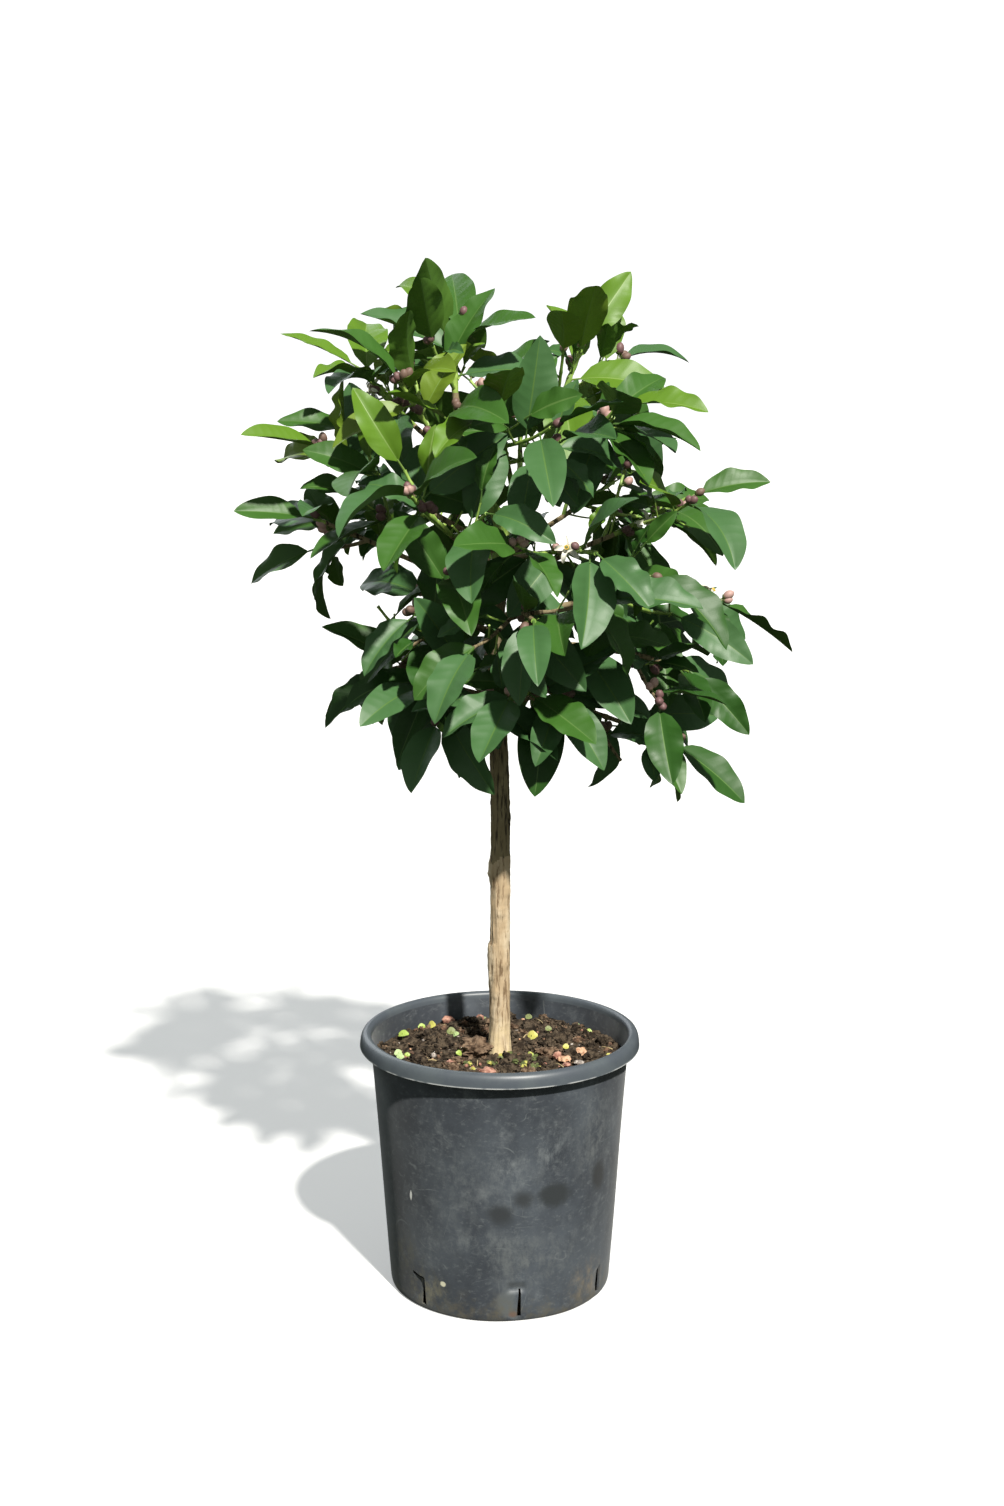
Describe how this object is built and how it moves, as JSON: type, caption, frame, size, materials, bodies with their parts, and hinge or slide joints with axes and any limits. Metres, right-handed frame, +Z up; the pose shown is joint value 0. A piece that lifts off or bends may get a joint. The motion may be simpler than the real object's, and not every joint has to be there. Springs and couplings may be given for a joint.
{
  "type": "potted lemon tree",
  "caption": "Small lemon tree grown as a standard: a bare trunk with a round open leafy crown, in a tapered plastic nursery pot filled with soil.",
  "frame": {"origin": "centre of the pot's flat underside, where the pot stands on the ground", "axes": "+Z up along the trunk, -Y towards the side that the picture shows, +X to its right"},
  "size_m": [0.5383, 0.4808, 1.0124],
  "materials": {
    "pot": "matte charcoal plastic with pale scuffs",
    "soil": "moist crumbly potting soil with pebbles",
    "bark": "fissured tan bark",
    "green_wood": "smooth young green stem",
    "leaf": "satin dark green leaves"
  },
  "bodies": {
    "root": {"bough_back": "bark", "bough_back_left": "bark", "bough_back_right": "bark", "bough_bottom_front": "bark", "bough_bottom_left": "bark", "bough_bottom_right": "bark", "bough_far_left": "bark", "bough_front_centre": "bark", "bough_front_left": "bark", "bough_front_right": "bark", "bough_left": "bark", "bough_low_back_left": "bark", "bough_low_back_right": "bark", "bough_low_far_left": "bark", "bough_low_left": "bark", "bough_low_right": "bark", "bough_right": "bark", "bough_right_low": "bark", "bough_right_mid": "bark", "bough_top_left": "green_wood", "bough_top_right": "green_wood", "bough_upper_back": "green_wood", "bough_upper_front": "green_wood", "bough_upper_left": "green_wood", "bough_upper_left_front": "green_wood", "bough_upper_right": "green_wood", "foliage_back": "leaf", "foliage_back_left": "leaf", "foliage_back_right": "leaf", "foliage_bottom_front": "leaf", "foliage_bottom_left": "leaf", "foliage_bottom_right": "leaf", "foliage_far_left": "leaf", "foliage_front_centre": "leaf", "foliage_front_left": "leaf", "foliage_front_right": "leaf", "foliage_left": "leaf", "foliage_low_back_left": "leaf", "foliage_low_back_right": "leaf", "foliage_low_far_left": "leaf", "foliage_low_left": "leaf", "foliage_low_right": "leaf", "foliage_right": "leaf", "foliage_right_low": "leaf", "foliage_right_mid": "leaf", "foliage_top_left": "leaf", "foliage_top_right": "leaf", "foliage_upper_back": "leaf", "foliage_upper_front": "leaf", "foliage_upper_left": "leaf", "foliage_upper_left_front": "leaf", "foliage_upper_right": "leaf", "pot": "pot", "soil": "soil", "trunk": "bark"}
  },
  "joints": []
}
